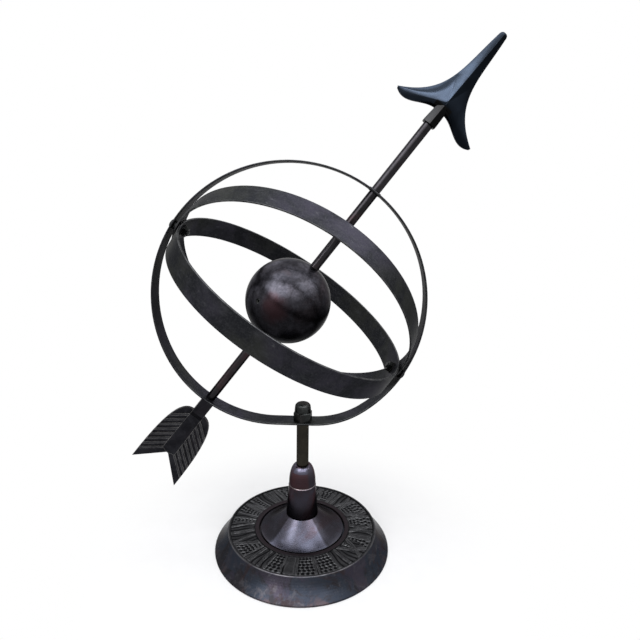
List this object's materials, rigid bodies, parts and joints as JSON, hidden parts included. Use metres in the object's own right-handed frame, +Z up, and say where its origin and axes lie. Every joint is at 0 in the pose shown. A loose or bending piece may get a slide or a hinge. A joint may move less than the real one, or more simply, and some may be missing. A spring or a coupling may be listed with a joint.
{
  "type": "armillary sundial",
  "caption": "Table armillary sundial: a round weighted base and turned post carry a hoop with pivoting rings inside it and an arrow through a solid globe, with cast head and fletching.",
  "frame": {"origin": "middle of the base, on the table; also the middle of the whole object seen from above, within a millimetre or so", "axes": "+Z up along the post; the hoop stands in the XZ plane; the arrow rises towards +X, its fletching hangs towards -X, and the picture looks along +Y"},
  "size_m": [0.3184, 0.2228, 0.4524],
  "materials": {
    "base_black": "antique black-bronze patina, satin",
    "dome_black": "smooth black patina with violet sheen",
    "collar_brown": "turned, brown-black patina",
    "post_black": "drawn rod, brown-black patina",
    "strap_grey": "matt dark grey, lightly scratched",
    "rod_black": "drawn rod, brown-black patina",
    "arrow_black": "smooth blue-black patina",
    "globe_black": "polished black-bronze patina",
    "hardware_black": "blackened"
  },
  "bodies": {
    "stand": {"base_casting": "base_black", "centre_dome": "dome_black", "lower_collar": "collar_brown", "upper_collar": "collar_brown", "post": "post_black", "base_washer": "hardware_black", "base_nut": "hardware_black", "cap_nut": "hardware_black"},
    "sphere": {"meridian_hoop": "strap_grey", "arrow_rod": "rod_black", "arrow_head": "arrow_black", "arrow_fletching": "arrow_black", "globe": "globe_black", "globe_grub_screw": "hardware_black", "pivot_screws": "hardware_black", "pivot_spacers": "hardware_black", "ring_washers": "hardware_black", "nut_washers": "hardware_black", "pivot_nuts": "hardware_black"},
    "equatorial": {"equatorial_ring": "strap_grey"},
    "ecliptic": {"ecliptic_ring": "strap_grey"}
  },
  "joints": [
    {"name": "sphere_turn", "type": "hinge", "parent": "stand", "child": "sphere", "pos_m": [0, 0, 0.1206], "axis": [0, 0, 1], "continuous": true},
    {"name": "equatorial_tilt", "type": "hinge", "parent": "sphere", "child": "equatorial", "pos_m": [-0.0132, 0, 0.2327], "axis": [0.8387, 0, -0.5446], "range_deg": [-82, 68]},
    {"name": "ecliptic_tilt", "type": "hinge", "parent": "sphere", "child": "ecliptic", "pos_m": [-0.0132, 0, 0.2327], "axis": [0.8387, 0, -0.5446], "range_deg": [-29, 119]}
  ]
}
